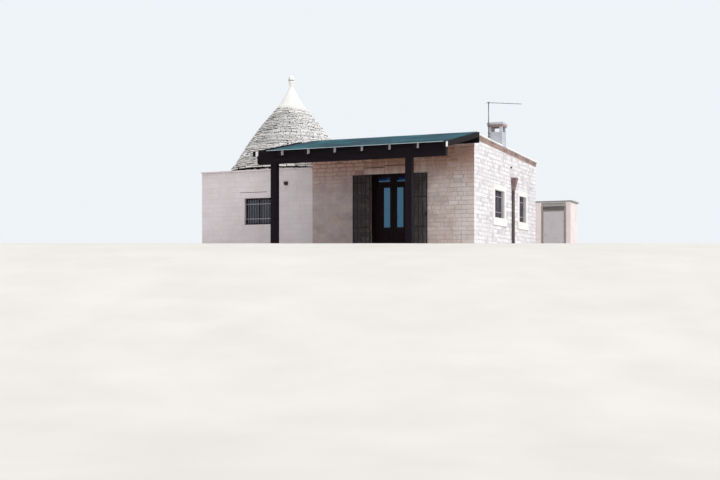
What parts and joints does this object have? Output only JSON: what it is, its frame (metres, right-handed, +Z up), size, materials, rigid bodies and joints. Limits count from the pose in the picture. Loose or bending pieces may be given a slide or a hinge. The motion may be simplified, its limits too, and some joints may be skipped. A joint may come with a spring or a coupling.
{
  "type": "trullo house",
  "caption": "Stone house with a cone-roofed square room, a flat-roofed wing, a timber lean-to over the door, a chimney and a small store.",
  "frame": {"origin": "on the ground, on the upright axis of the cone", "axes": "+X runs along the front towards the wing, +Y runs from the front into the house, +Z is up"},
  "size_m": [11.53, 12.21, 6.543],
  "materials": {
    "grey_limestone": "matte",
    "dry_stone": "matte",
    "lime_plaster": "matte",
    "warm_limestone": "matte",
    "pale_limestone": "matte",
    "brown_slab": "matte",
    "paving_stone": "matte",
    "roof_screed": "matte",
    "brown_joinery": "satin",
    "glass": "gloss",
    "black_iron": "satin",
    "dark_timber": "matte",
    "teal_sheet": "satin",
    "rusty_pipe": "matte",
    "aerial_metal": "satin",
    "lamp_body": "satin",
    "store_stone": "matte",
    "store_frame_paint": "satin",
    "store_door_paint": "satin"
  },
  "bodies": {
    "house": {"trullo_front_wall": "grey_limestone", "trullo_left_wall": "grey_limestone", "trullo_back_wall": "grey_limestone", "trullo_inner_wall": "grey_limestone", "trullo_floor": "paving_stone", "trullo_terrace": "grey_limestone", "trullo_cornice": "grey_limestone", "cone_roof": "dry_stone", "cone_cap": "lime_plaster", "pinnacle": "lime_plaster", "wing_front_wall_left": "warm_limestone", "wing_front_wall_right": "warm_limestone", "wing_front_wall_over_door": "warm_limestone", "wing_side_wall": "pale_limestone", "wing_back_wall": "pale_limestone", "wing_left_wall": "pale_limestone", "wing_floor": "paving_stone", "wing_roof_slab": "roof_screed", "door_threshold": "paving_stone", "roof_coping": "pale_limestone", "cornice_band": "brown_slab", "door_frame": "brown_joinery", "transom_glass": "glass", "grille_pintles": "black_iron", "window_sashes": "brown_joinery", "window_glass": "glass", "side_window_surrounds": "pale_limestone", "chimney_stack": "pale_limestone", "chimney_cap": "grey_limestone", "aerial": "aerial_metal", "downpipe": "rusty_pipe", "rain_hopper": "rusty_pipe", "post_left": "dark_timber", "post_right": "dark_timber", "front_beam": "dark_timber", "wall_plate": "dark_timber", "rafters": "dark_timber", "rafter_blocks": "dark_timber", "roof_sheet": "teal_sheet", "wall_lamp": "lamp_body", "store_walls": "store_stone", "store_roof": "store_stone", "store_door_frame": "store_frame_paint"},
    "left_door": {"door_leaf_left": "brown_joinery", "door_glass_left": "glass"},
    "right_door": {"door_leaf_right": "brown_joinery", "door_glass_right": "glass"},
    "left_grille": {"grille_leaf_left": "black_iron"},
    "right_grille": {"grille_leaf_right": "black_iron"},
    "store_door": {"store_door": "store_door_paint"}
  },
  "joints": [
    {"name": "left_door_hinge", "type": "hinge", "parent": "house", "child": "left_door", "pos_m": [4.4425, -2.268, 1.1], "axis": [0, 0, 1], "range_deg": [0, 90]},
    {"name": "right_door_hinge", "type": "hinge", "parent": "house", "child": "right_door", "pos_m": [5.5375, -2.268, 1.1], "axis": [0, 0, -1], "range_deg": [0, 90]},
    {"name": "left_grille_hinge", "type": "hinge", "parent": "house", "child": "left_grille", "pos_m": [4.325, -2.69, 1.2], "axis": [0, 0, -1], "range_deg": [-180, 0]},
    {"name": "right_grille_hinge", "type": "hinge", "parent": "house", "child": "right_grille", "pos_m": [5.655, -2.69, 1.2], "axis": [0, 0, 1], "range_deg": [-180, 0]},
    {"name": "store_door_hinge", "type": "hinge", "parent": "house", "child": "store_door", "pos_m": [8.9875, 5.038, 0.8], "axis": [0, 0, 1], "range_deg": [0, 100]}
  ]
}
